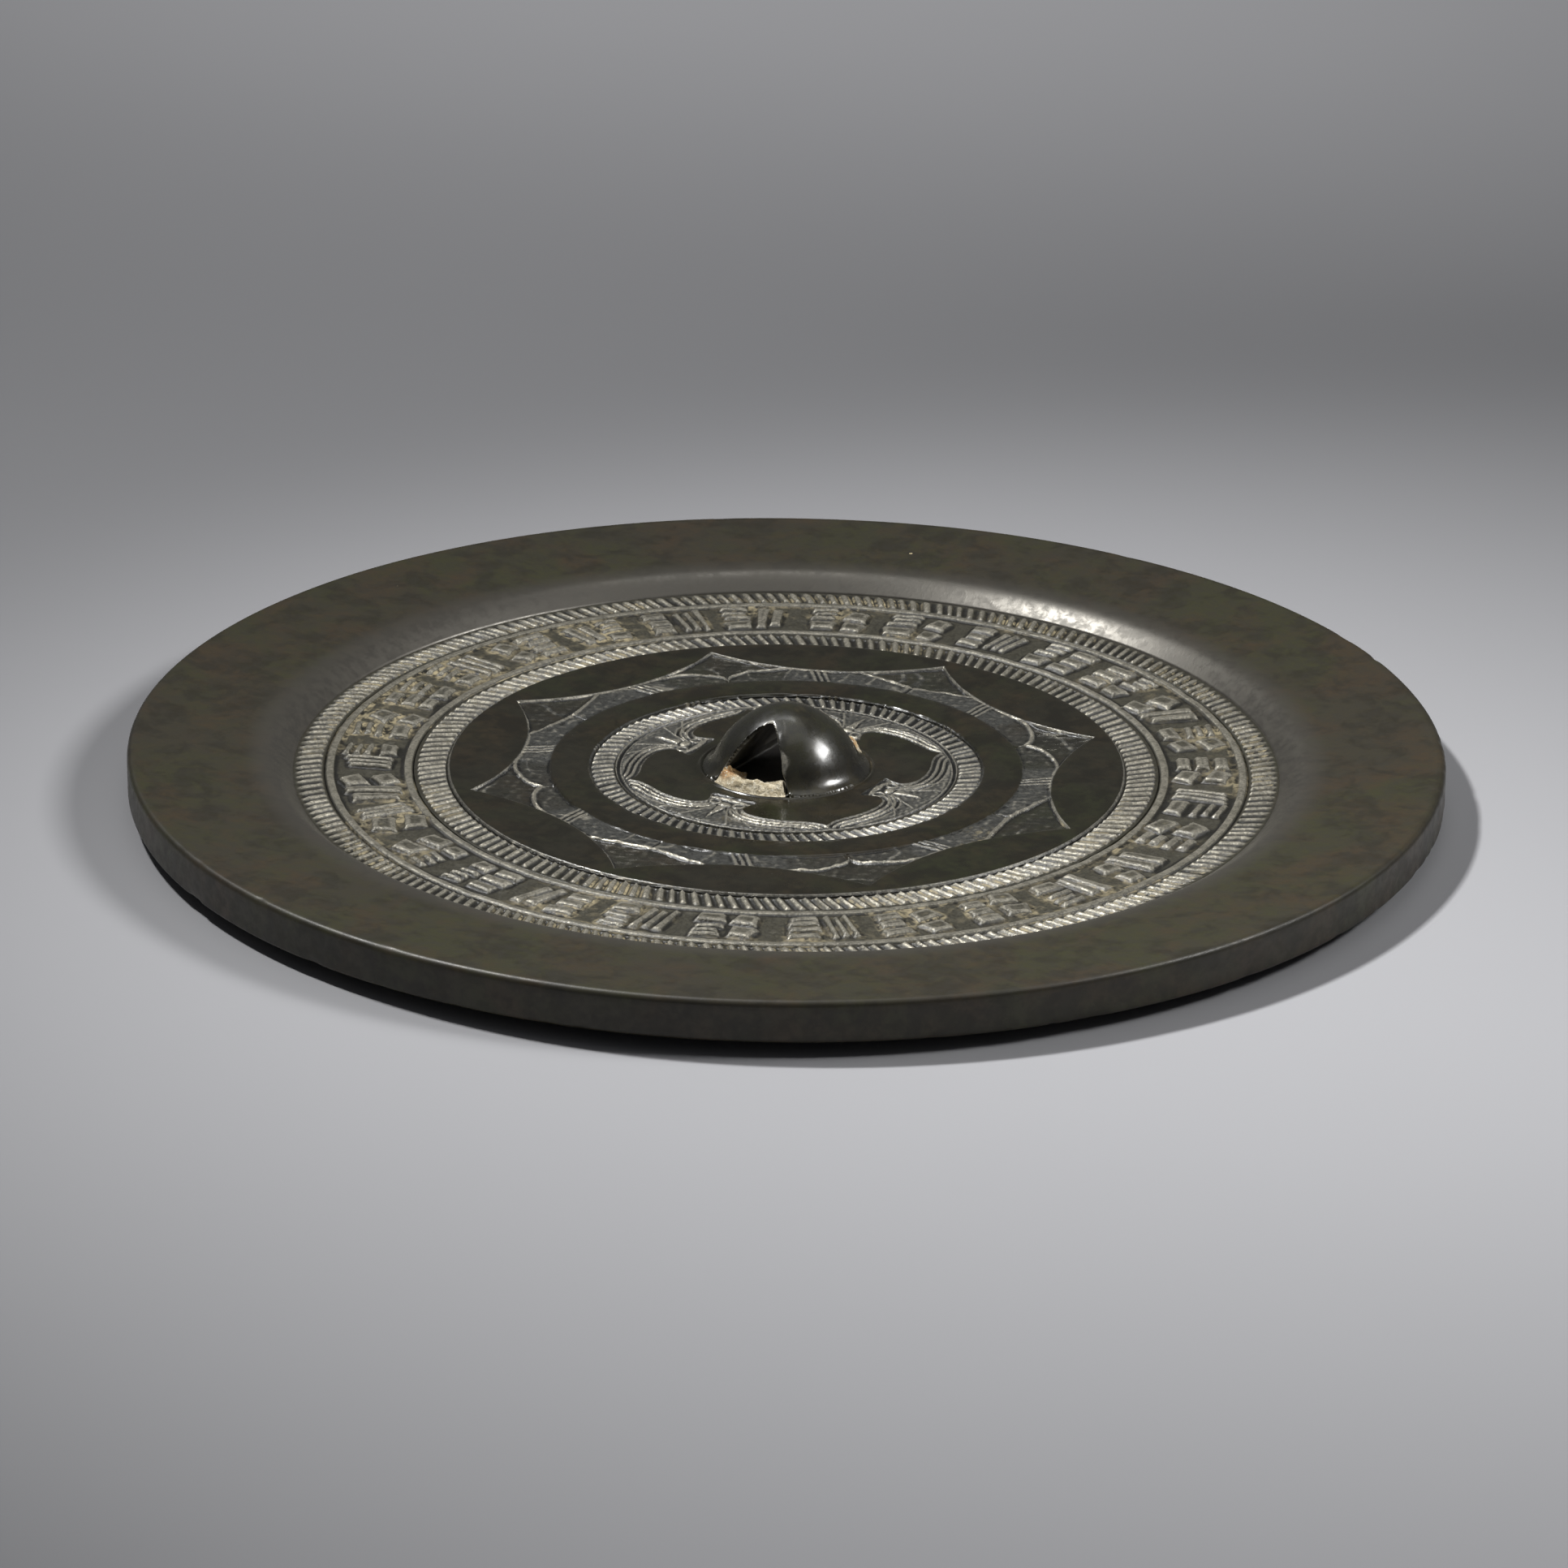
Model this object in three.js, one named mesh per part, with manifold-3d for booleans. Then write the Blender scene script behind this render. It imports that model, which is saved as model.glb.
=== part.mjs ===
// Round cast bronze mirror, lying on its polished face with the decorated back up.
// One casting: a thin dished disc with a broad plain rim, a sunk field with a ring of
// eight inward arcs, a plain ring, four leaves and a pierced domed knob.
// Millimetres, +Z up. The origin is the centre of the flat spot that the mirror rests on.

import * as THREE from 'three';
import { mergeVertices } from 'three/addons/utils/BufferGeometryUtils.js';
import Module from 'manifold-3d';

// ---------------------------------------------------------------- driving dimensions

const mirrorRadius = 93;
const faceCurveRadius = 2000;    // the polished face is a very shallow dome
const restFlatRadius = 22;       // worn flat spot in the middle of that dome
const edgeThickness = 5.8;       // height of the outer side wall
const edgeRound = 0.7;           // worn corner of the rim
const rimInnerRadius = 73.5;
const rimFall = 1.9;             // the rim falls this much from its edge to its inner side
const fieldDepth = 5.4;          // middle of the sunk field below the rim's edge

const outerCombRadius = 69.75;   // foot of the bevel, and outside of the outer comb band
const outerLineRadius = 65.1;    // string line between the outer comb and the inscription
const innerLineRadius = 52.9;    // string line between the inscription and the middle comb
const lineWidth = 0.7;
const lineHeight = 0.35;

const arcFieldRadius = 47.8;     // outside of the polished field that the eight arcs bound
const arcCount = 8;
const arcCuspRadius = 45.6;      // where two arcs meet
const arcMidRadius = 37.8;       // where an arc comes nearest the middle
const arcHeight = 0.55;

const ringOuterRadius = 33.7;    // plain polished ring
const ringInnerRadius = 27.8;
const ringHeight = 0.5;
const calyxLineRadius = 23.9;    // groove round the four leaves
const grooveWidth = 0.6;
const grooveDepth = 0.3;

const leafCount = 4;
const leafHeight = 0.5;
const leafTipRadius = 23.0;
const collarRadius = 14.2;       // the leaves grow out of a flat collar round the knob

const knobRadius = 11.4;
const knobHeight = 10.0;
const knobRoundness = 1.7;       // exponent of the profile: 2 is a half-ellipse, 1 a cone
const lipRadius = 12.2;          // low bead round the foot of the knob
const lipHeight = 0.45;
const lipRound = 0.25;
const tunnelHalfWidth = 5.6;     // arched hole for a cord, along Y, at its floor
const tunnelHeight = 7.9;

const turnSteps = 96;            // facets round the disc
const knobSteps = 48;
const buried = 1;                // how far an added feature reaches into the disc
const floorGap = 0.02;           // keeps the tunnel's floor just above the collar

// ---------------------------------------------------------------- levels of the disc

const dish = (r) => (r * r) / (2 * faceCurveRadius);
const undersideAt = (r) => Math.max(0, dish(r) - dish(restFlatRadius));
const edgeTop = undersideAt(mirrorRadius) + edgeThickness;
const fieldAt = (r) => edgeTop - fieldDepth + dish(r);

// ---------------------------------------------------------------- solids and booleans

const wasm = await Module();
wasm.setup();

// A closed three.js geometry as a solid.
function toSolid(geometry) {
  const bare = geometry.clone();
  bare.deleteAttribute('normal');
  bare.deleteAttribute('uv');
  const merged = mergeVertices(bare, 1e-4);
  return new wasm.Manifold(new wasm.Mesh({
    numProp: 3,
    vertProperties: new Float32Array(merged.attributes.position.array),
    triVerts: new Uint32Array(merged.index.array),
  }));
}

function toGeometry(solid) {
  const mesh = solid.getMesh();
  const geometry = new THREE.BufferGeometry();
  geometry.setAttribute('position', new THREE.BufferAttribute(mesh.vertProperties, 3));
  geometry.setIndex(new THREE.BufferAttribute(mesh.triVerts, 1));
  geometry.computeVertexNormals();
  return geometry;
}

// A solid of revolution about +Z. The profile is a list of [radius, height].
function turned(profile, steps) {
  const geometry = new THREE.LatheGeometry(profile.map(([r, z]) => new THREE.Vector2(r, z)), steps);
  geometry.rotateX(Math.PI / 2);
  return toSolid(geometry);
}

// An upright prism over a flat outline, from below the disc's face to above its rim.
function uprightPrism(shape) {
  const geometry = new THREE.ExtrudeGeometry(shape, { depth: 2 * edgeTop, bevelEnabled: false });
  return toSolid(geometry);
}

// A flat-topped band that follows the dish, raised above the field between two radii.
function raisedBand(inner, outer, height, edgeSlope) {
  return turned([
    [inner, fieldAt(inner) - buried],
    [outer, fieldAt(outer) - buried],
    [outer, fieldAt(outer)],
    [outer - edgeSlope, fieldAt(outer) + height],
    [inner + edgeSlope, fieldAt(inner) + height],
    [inner, fieldAt(inner)],
    [inner, fieldAt(inner) - buried],
  ], turnSteps);
}

// ---------------------------------------------------------------- the disc

// Points of the back's profile across a string line standing proud of the field.
function linePoints(radius) {
  const half = lineWidth / 2;
  return [
    [radius + half, fieldAt(radius + half)],
    [radius, fieldAt(radius) + lineHeight],
    [radius - half, fieldAt(radius - half)],
  ];
}

function makeDisc() {
  const under = [0, restFlatRadius, 46, 68, mirrorRadius - 0.5].map((r) => [r, undersideAt(r)]);
  const side = [
    [mirrorRadius, undersideAt(mirrorRadius) + 0.4],
    [mirrorRadius, edgeTop - edgeRound],
    [mirrorRadius - edgeRound, edgeTop],
  ];
  const rim = [
    [rimInnerRadius, edgeTop - rimFall],
    [outerCombRadius, fieldAt(outerCombRadius)],
  ];
  const groove = [
    [calyxLineRadius + grooveWidth / 2, fieldAt(calyxLineRadius)],
    [calyxLineRadius, fieldAt(calyxLineRadius) - grooveDepth],
    [calyxLineRadius - grooveWidth / 2, fieldAt(calyxLineRadius)],
  ];
  return turned([
    ...under, ...side, ...rim,
    ...linePoints(outerLineRadius), ...linePoints(innerLineRadius),
    [arcFieldRadius, fieldAt(arcFieldRadius)],
    ...groove,
    [0, fieldAt(0)],
  ], turnSteps);
}

// ---------------------------------------------------------------- the eight arcs

// Each arc is part of a circle centred outside the ring, on the line between two cusps.
const halfStep = Math.PI / arcCount;
const arcCentre = (arcCuspRadius ** 2 - arcMidRadius ** 2)
  / (2 * (arcCuspRadius * Math.cos(halfStep) - arcMidRadius));
const arcRadius = arcCentre - arcMidRadius;

// Radius of the scalloped edge at an angle measured from the middle of an arc.
function scallopRadius(fromMid) {
  const across = arcCentre * Math.sin(fromMid);
  return arcCentre * Math.cos(fromMid) - Math.sqrt(arcRadius ** 2 - across ** 2);
}

function makeArcField() {
  const stepsPerArc = 12;
  const edge = new THREE.Path();
  for (let arc = 0; arc < arcCount; arc += 1) {
    for (let step = 0; step < stepsPerArc; step += 1) {
      const fromMid = (2 * step / stepsPerArc - 1) * halfStep;
      const angle = (2 * arc + 1) * halfStep + fromMid;
      const radius = scallopRadius(fromMid);
      const point = [radius * Math.cos(angle), radius * Math.sin(angle)];
      if (arc + step === 0) edge.moveTo(...point);
      else edge.lineTo(...point);
    }
  }
  edge.closePath();
  const outline = new THREE.Shape();
  outline.absarc(0, 0, mirrorRadius, 0, 2 * Math.PI);
  outline.holes.push(edge);
  return raisedBand(arcMidRadius - 2, arcFieldRadius, arcHeight, 0.4).intersect(uprightPrism(outline));
}

// ---------------------------------------------------------------- the four leaves

// Half of a leaf's outline as [radius, degrees from the leaf's own line], from its broad
// shoulder by the knob to its tip.
const leafHalf = [
  [collarRadius, 40], [14.6, 31.5], [15.6, 33.5], [17.2, 35.5], [18.8, 32], [19.8, 25], [20.5, 16],
  [21.1, 7], [21.8, 3], [leafTipRadius, 0],
];

function makeLeaf(index) {
  const turn = (2 * index + 1) * Math.PI / leafCount;
  const at = ([radius, degrees]) => {
    const angle = turn + THREE.MathUtils.degToRad(degrees);
    return new THREE.Vector2(radius * Math.cos(angle), radius * Math.sin(angle));
  };
  const left = new THREE.SplineCurve(leafHalf.map(at)).getPoints(18);
  const right = new THREE.SplineCurve(leafHalf.map(([r, d]) => at([r, -d]))).getPoints(18);
  const outline = new THREE.Shape([...left, ...right.slice(0, -1).reverse(), new THREE.Vector2(0, 0)]);
  return uprightPrism(outline);
}

function makeLeaves() {
  const blank = turned([
    [0, fieldAt(0) - buried],
    [leafTipRadius + 1, fieldAt(leafTipRadius) - buried],
    [leafTipRadius + 1, fieldAt(leafTipRadius) + leafHeight],
    [0, fieldAt(0) + leafHeight],
  ], turnSteps);
  const collar = turned([
    [0, fieldAt(0) - buried],
    [collarRadius, fieldAt(collarRadius) - buried],
    [collarRadius, fieldAt(collarRadius) + leafHeight],
    [0, fieldAt(0) + leafHeight],
  ], turnSteps);
  let leaves = collar;
  for (let index = 0; index < leafCount; index += 1) {
    leaves = leaves.add(blank.intersect(makeLeaf(index)));
  }
  return leaves;
}

// ---------------------------------------------------------------- the pierced knob

function makeKnob() {
  const foot = fieldAt(0);
  const dome = [];
  const domeSteps = 12;
  for (let step = 0; step <= domeSteps; step += 1) {
    const slope = (step / domeSteps) * Math.PI / 2;
    dome.push([
      knobRadius * Math.cos(slope) ** (2 / knobRoundness),
      foot + knobHeight * Math.sin(slope) ** (2 / knobRoundness),
    ]);
  }
  dome[domeSteps][0] = 0;
  const lipTop = foot + leafHeight + lipHeight;
  const lip = [[0, foot - buried], [lipRadius, foot - buried], [lipRadius, lipTop - lipRound],
    [lipRadius - lipRound, lipTop], [0, lipTop]];
  const body = [[0, foot - buried], [knobRadius, foot - buried], ...dome];
  return turned(body, knobSteps).add(turned(lip, knobSteps));
}

// The hole for a cord: a straight tunnel along Y with a flat floor and an arched roof.
function makeTunnel() {
  const outline = new THREE.Shape();
  const archSteps = 12;
  for (let step = 0; step <= archSteps; step += 1) {
    const across = 1 - (2 * step) / archSteps;
    const point = [tunnelHalfWidth * across, tunnelHeight * (1 - across ** 2)];
    if (step === 0) outline.moveTo(...point);
    else outline.lineTo(...point);
  }
  outline.closePath();
  const length = 2 * (lipRadius + 3);
  const geometry = new THREE.ExtrudeGeometry(outline, { depth: length, bevelEnabled: false });
  geometry.rotateX(Math.PI / 2);
  geometry.translate(0, length / 2, fieldAt(collarRadius) + leafHeight + floorGap);
  return toSolid(geometry);
}

// ---------------------------------------------------------------- the mirror

function makeMirror() {
  const ring = raisedBand(ringInnerRadius, ringOuterRadius, ringHeight, 0.4);
  const solid = makeDisc()
    .add(makeArcField())
    .add(ring)
    .add(makeLeaves())
    .add(makeKnob())
    .subtract(makeTunnel());
  const bronze = new THREE.MeshStandardMaterial({ color: 0x3d3a31, roughness: 0.38, metalness: 0.85 });
  const mirror = new THREE.Mesh(toGeometry(solid), bronze);
  mirror.name = 'mirror';
  return mirror;
}

const group = new THREE.Group();
group.add(makeMirror());

export default group;
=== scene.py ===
# %% [markdown]
# # A cast bronze mirror
#
# The real object is one casting in high-tin bronze, a little under 19 cm across. One face was
# ground and polished to see oneself in; the other, shown here, carries the decoration and a
# pierced knob for a cord. It lies on its polished face.
#
# All sizes below are millimetres, and every mesh is turned into metres as it is made. The back is
# a relief less than a millimetre high, so it could be faked with a bump texture. It is modelled
# instead, as grids whose points are moved up and down by short formulas, because real relief
# keeps its outline and its shadows from every side and survives an export.

import bmesh
import bpy
import numpy as np
from mathutils import Matrix, Vector


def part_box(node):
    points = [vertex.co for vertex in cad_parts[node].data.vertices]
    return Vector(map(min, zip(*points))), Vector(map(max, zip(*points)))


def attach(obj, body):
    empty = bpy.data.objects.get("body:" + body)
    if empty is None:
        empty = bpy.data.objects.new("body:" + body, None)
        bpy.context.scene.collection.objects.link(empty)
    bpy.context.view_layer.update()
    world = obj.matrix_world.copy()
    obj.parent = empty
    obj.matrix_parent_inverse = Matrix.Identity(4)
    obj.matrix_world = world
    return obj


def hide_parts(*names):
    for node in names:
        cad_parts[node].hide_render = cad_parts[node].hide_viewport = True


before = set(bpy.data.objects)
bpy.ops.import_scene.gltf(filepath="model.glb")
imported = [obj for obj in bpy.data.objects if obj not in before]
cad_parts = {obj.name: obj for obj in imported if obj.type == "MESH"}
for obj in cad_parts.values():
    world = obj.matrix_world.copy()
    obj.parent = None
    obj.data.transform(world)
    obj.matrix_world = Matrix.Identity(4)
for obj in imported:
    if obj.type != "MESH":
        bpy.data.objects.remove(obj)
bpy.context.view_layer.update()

MM = 0.001
low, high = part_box("mirror")
mirror_radius = (high.x - low.x) / 2 / MM
print("mirror radius", round(mirror_radius, 2), "mm, height", round(high.z / MM, 2), "mm")

# %% [markdown]
# ## The levels of the disc
#
# The polished face is a very shallow dome, and the whole disc was cast at an even thickness, so
# the decorated field follows the same curve. One function gives that curve, and every level is
# measured from it. The last line compares the result with the height of the frame.

# %% Levels
face_curve_radius = 2000
rest_flat_radius = 22
edge_thickness = 5.8
rim_inner_radius = 72.9
rim_fall = 1.65
field_depth = 5.4

outer_comb_radius = 69.75
outer_groove_radius = 65.45
inner_groove_radius = 52.75
arc_field_radius = 48.1
ring_outer_radius = 33.7
ring_inner_radius = 27.8
leaf_field_radius = 24.25
knob_plug_radius = 11.9

polish_height = 0.55
leaf_height = 0.5
collar_radius = 14.2
lip_radius = 12.3
lip_height = 0.22
knob_radius = 11.4
knob_height = 10.0
knob_roundness = 1.7
inner_floor = 1.2


def dish(radius):
    return np.square(radius) / (2 * face_curve_radius)


def underside(radius):
    return np.maximum(0, dish(radius) - dish(rest_flat_radius))


edge_top = underside(mirror_radius) + edge_thickness


def field(radius):
    """Height of the bare ground of the sunk back."""
    return edge_top - field_depth + dish(radius)


print("knob top", round(float(field(0) + knob_height), 2), "mm; frame says", round(high.z / MM, 2))

# %% [markdown]
# ## Small tools for shaping
#
# Three short helpers do most of the shaping: a soft step from 0 to 1, a soft hump, and a cloud of
# slow random waves that stands for the unevenness of a hand-made mould. The random waves are
# seeded, so each run gives the same mirror. The others turn directions and radii into places.

# %% Shaping helpers


def soft_step(start, end, value):
    share = np.clip((value - start) / (end - start), 0, 1)
    return share * share * (3 - 2 * share)


def hump(value, centre, half_width):
    """1 at the centre, falling smoothly to 0 at half_width on either side."""
    return 1 - soft_step(0, half_width, np.abs(value - centre))


def cloud(x, y, size, seed):
    """Slow random waves, mostly between -1 and 1, with humps about size mm across."""
    draw = np.random.default_rng(seed)
    total = np.zeros(np.shape(x))
    for _ in range(10):
        heading, phase = draw.uniform(0, 2 * np.pi, 2)
        pace = 2 * np.pi / (size * draw.uniform(1.2, 3.0))
        total += np.cos(pace * (x * np.cos(heading) + y * np.sin(heading)) + phase)
    return total / 4


def wrapped(angle, step, offset=0.0):
    """Angle measured from the nearest of the directions offset + k * step."""
    return (angle - offset + step / 2) % step - step / 2


def flat(radius, angle):
    """The x and y of points given by their radius and direction."""
    return radius * np.cos(angle), radius * np.sin(angle)


def all_round(columns):
    """The directions of evenly spaced columns."""
    return np.arange(columns) / columns * 2 * np.pi


def polar_grid(radii, columns):
    """Radius, direction, x and y of a grid with one row for each radius."""
    radius = np.repeat(radii[:, None], columns, axis=1)
    angle = np.broadcast_to(all_round(columns), radius.shape)
    return radius, angle, *flat(radius, angle)


print("a soft step at its middle is", soft_step(0, 1, 0.5))

# %% [markdown]
# ## A ring as a closed piece
#
# A mesh of over 200 000 triangles is slow to handle, and the whole back in one grid would need
# far more. So the casting is drawn as nested rings that meet exactly, each joint hidden in a
# groove or at the foot of a step that the real mirror has there. Each ring is a closed solid: a
# top grid, two upright walls and a flat floor.
#
# Two numbers are stored on every point, for the materials to read: `tone`, which is 0 on surfaces
# that were polished and 1 on bare relief, and which some pieces raise along edges as a painted
# highlight; and `hollow`, which is 1 deep in a crevice, where dust stays and where the finishes
# darken the colour as painted shade. The rim, the knob and the soil use the same two names for
# masks of their own; on the knob, `hollow` marks the wall of the hole, which is painted nearly
# black as shade. The map named OFBake cuts each ring into a few straight strips, so that baked
# colours are as sharp as they can be.

# %% Ring builder


def hollowness(height, reach=3):
    """Near 1 where a point lies below its neighbours, and near 0 where it stands proud of them."""
    padded = np.pad(height, ((reach, reach), (0, 0)), mode="edge")
    total = np.zeros_like(height)
    for down in range(2 * reach + 1):
        rows = padded[down:down + len(height)]
        for along in range(-reach, reach + 1):
            total += np.roll(rows, along, axis=1)
    mean = total / (2 * reach + 1) ** 2
    return np.clip(0.5 + (mean - height) / 0.3, 0, 1)


def grid_faces(index):
    """Faces between the rows of a grid of point numbers whose columns go all the way round."""
    ahead = np.roll(index, -1, axis=1)
    return np.stack([index[:-1], ahead[:-1], ahead[1:], index[1:]], -1).reshape(-1, 4)


def placed(name, data):
    """A new object, linked into the scene."""
    thing = bpy.data.objects.new(name, data)
    bpy.context.scene.collection.objects.link(thing)
    return thing


def add_numbers(mesh, **values):
    for name, numbers in values.items():
        attribute = mesh.attributes.new(name, "FLOAT", "POINT")
        attribute.data.foreach_set("value", np.asarray(numbers, np.float32).ravel())


def finish_piece(name, mesh, smooth):
    """Shades a mesh, links it, and hands it to the frame as part of the mirror."""
    mesh.polygons.foreach_set("use_smooth", np.asarray(smooth, bool))
    mesh.validate()
    mesh.update()
    piece = placed(name, mesh)
    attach(piece, "root")
    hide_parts("mirror")
    triangles = sum(len(face.vertices) - 2 for face in mesh.polygons)
    print(name, triangles, "triangles")
    return piece


def strip_map(mesh, path, strips, columns):
    """The OFBake map: the ring cut into equal strips, laid one above the other."""
    rows = len(path) - 1
    per_strip = columns // strips
    column = np.tile(np.arange(columns), rows)
    row = np.repeat(np.arange(rows), columns)
    strip = column // per_strip
    left = (column % per_strip) / per_strip
    right = left + 1 / per_strip
    near = (strip + path[row]) / strips
    far = (strip + path[row + 1]) / strips
    corners = np.stack([left, near, right, near, right, far, left, far], -1)
    layer = mesh.uv_layers.new(name="OFBake", do_init=False)
    layer.uv.foreach_set("vector", corners.astype(np.float32).ravel())


def ring_piece(name, angle, radius, height, tone, strips=8):
    """Rows of the grids run from the outside in, and columns run round the ring."""
    rows, columns = height.shape
    top = np.stack([*flat(radius, angle), height], -1)
    feet = top[[0, -1]].copy()
    feet[..., 2] = inner_floor
    grid = np.concatenate([feet[:1], top, feet[1:]])
    index = np.arange(grid[..., 0].size).reshape(rows + 2, columns)
    faces = grid_faces(np.concatenate([index, index[:1]]))
    mesh = bpy.data.meshes.new(name)
    mesh.from_pydata((grid.reshape(-1, 3) * MM).tolist(), [], faces.tolist())

    def with_feet(values):
        values = np.broadcast_to(values, height.shape)
        return np.concatenate([values[:1], values, values[-1:]])

    add_numbers(mesh, tone=with_feet(tone), hollow=with_feet(hollowness(height)))
    length = np.linalg.norm(np.diff(grid[:, 0], axis=0), axis=1)
    length[[0, -1]] = 0.03 * length.sum()
    length = np.append(length, 0.03 * length.sum())
    path = 0.01 + 0.98 * np.append(0, np.cumsum(length)) / length.sum()
    strip_map(mesh, path, strips, columns)
    smooth = np.ones((rows + 2, columns), bool)
    smooth[[0, -2, -1]] = False
    return finish_piece(name, mesh, smooth.ravel())


print("ring builder ready")

# %% [markdown]
# ## Rim, side wall and polished face
#
# The broad plain rim is highest at its outer edge and falls gently inward, then drops down a
# bevel to the sunk field. On the real mirror it was scraped smooth, its corners are softly worn,
# and the lower edge has small nicks. The piece is a profile turned round the axis, like a pot on
# a wheel. It is a tray: the relief rings sit inside it on a floor that can't be seen.

# %% Rim profile
rim_columns = 900
corner_round = 0.9
lower_round = 0.5


def rim_top(radius):
    """The rim's own slope, blended into the bevel round a soft shoulder."""
    fall = rim_fall / (mirror_radius - rim_inner_radius)
    slope = edge_top - fall * (mirror_radius - radius)
    foot = field(outer_comb_radius)
    steep = (edge_top - rim_fall - foot) / (rim_inner_radius - outer_comb_radius)
    bevel = foot + steep * (radius - outer_comb_radius)
    softness = 0.42
    return -softness * np.log(np.exp(-slope / softness) + np.exp(-bevel / softness))


def rounded_corner(centre_radius, centre_height, size, start, end, steps=6):
    turn = np.radians(np.linspace(start, end, steps))
    return np.stack([centre_radius + size * np.cos(turn), centre_height + size * np.sin(turn)], -1)


under_radii = np.array([8, 15, rest_flat_radius, 26, 32, 40, 48, 56, 64, 72, 80, 87, 91])
lower_centre = underside(mirror_radius) + lower_round
profile = np.concatenate([
    np.stack([under_radii, underside(under_radii)], -1),
    rounded_corner(mirror_radius - lower_round, lower_centre, lower_round, -90, 0),
    np.stack([np.full(5, mirror_radius),
              np.linspace(lower_centre, edge_top - corner_round, 7)[1:-1]], -1),
    rounded_corner(mirror_radius - corner_round, edge_top - corner_round, corner_round, 0, 84),
    np.stack([(radii := np.linspace(91.6, 77, 9)), rim_top(radii)], -1),
    np.stack([(radii := np.linspace(76.6, outer_comb_radius, 22)), rim_top(radii)], -1),
    [[outer_comb_radius, inner_floor]],
])
print(len(profile), "points in the rim's profile")

# %% [markdown]
# The bevel isn't quite even: on one side the rim stands a little higher and fuller over the
# bands. The nicks are shallow bites out of the lower and upper edges. Each is a place round the
# rim, a place along the profile, a width and a depth, and it pushes nearby points towards the
# middle of the rim.

# %% Rim piece
full_side = np.radians(-97)


def turned_piece(name, profile, columns, shift):
    """Turns a profile that starts near the axis on the underside and ends near it on top."""
    angle = all_round(columns)
    radius, height = (np.repeat(profile[:, k:k + 1], columns, axis=1) for k in (0, 1))
    radius, height = shift(radius, height, angle[None, :])
    grid = np.stack([*flat(radius, angle), height], -1)
    rows = len(profile)
    index = np.arange(rows * columns).reshape(rows, columns)
    ahead = np.roll(index, -1, axis=1)
    quads = grid_faces(index)
    bottom, top = rows * columns, rows * columns + 1
    fan_under = np.stack([np.full(columns, bottom), ahead[0], index[0]], -1)
    fan_floor = np.stack([np.full(columns, top), index[-1], ahead[-1]], -1)
    poles = [[0, 0, profile[0, 1]], [0, 0, profile[-1, 1]]]
    points = np.concatenate([grid.reshape(-1, 3), poles]) * MM
    mesh = bpy.data.meshes.new(name)
    mesh.from_pydata(points.tolist(), [], quads.tolist() + fan_under.tolist() + fan_floor.tolist())
    from_axis = np.hypot(points[:, 0], points[:, 1]) / MM
    on_bevel = soft_step(77.5, 71.5, from_axis) * (points[:, 2] > 3 * MM)
    add_numbers(mesh, tone=np.zeros(len(points)), hollow=on_bevel)
    smooth = np.ones(len(mesh.polygons), bool)
    smooth[(rows - 2) * columns:(rows - 1) * columns] = False
    smooth[-columns:] = False
    return finish_piece(name, mesh, smooth)


def worn_rim(radius, height, angle):
    """The full side of the bevel, slight waviness of the edge, and nicks along its two corners."""
    full = soft_step(1.3, 0.2, np.abs(wrapped(angle, 2 * np.pi, full_side))) * (height > 3)
    height = height + (0.25 * full * hump(radius, rim_inner_radius + 1.5, 9)
                       * soft_step(69.9, 72, radius))
    radius = radius - 0.35 * full * hump(radius, rim_inner_radius - 0.2, 2.8)
    near_edge = soft_step(mirror_radius - 6, mirror_radius, radius)
    wave = cloud(*flat(90, angle), 22, seed=3)
    radius = radius - near_edge * 0.05 * (1 + wave)
    draw = np.random.default_rng(11)
    for _ in range(46):
        place = draw.uniform(0, 2 * np.pi)
        width, depth = draw.uniform(0.5, 1.7), draw.uniform(0.06, 0.3)
        edge = underside(mirror_radius) if draw.random() < 0.65 else edge_top
        along = mirror_radius * wrapped(angle, 2 * np.pi, place)
        bite = depth * np.exp(-(along / width) ** 2 - ((height - edge) / 0.7) ** 2) * near_edge
        radius = radius - bite
    return radius, height


rim_and_face = turned_piece("rim_and_face", profile, rim_columns, worn_rim)

# %% [markdown]
# ## Comb bands
#
# Three narrow bands are filled with short slanting ridges, which were pressed into the clay of
# the mould one by one. They could be hundreds of copies of one ridge, but a grid is lighter: its
# columns lean with the teeth, so a few columns for each tooth draw a clean crest and a clean
# valley. The spacing, height and wear wander a little along the band.

# %% Comb band builder
tooth_lean = np.radians(18)
columns_per_tooth = 8


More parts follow.
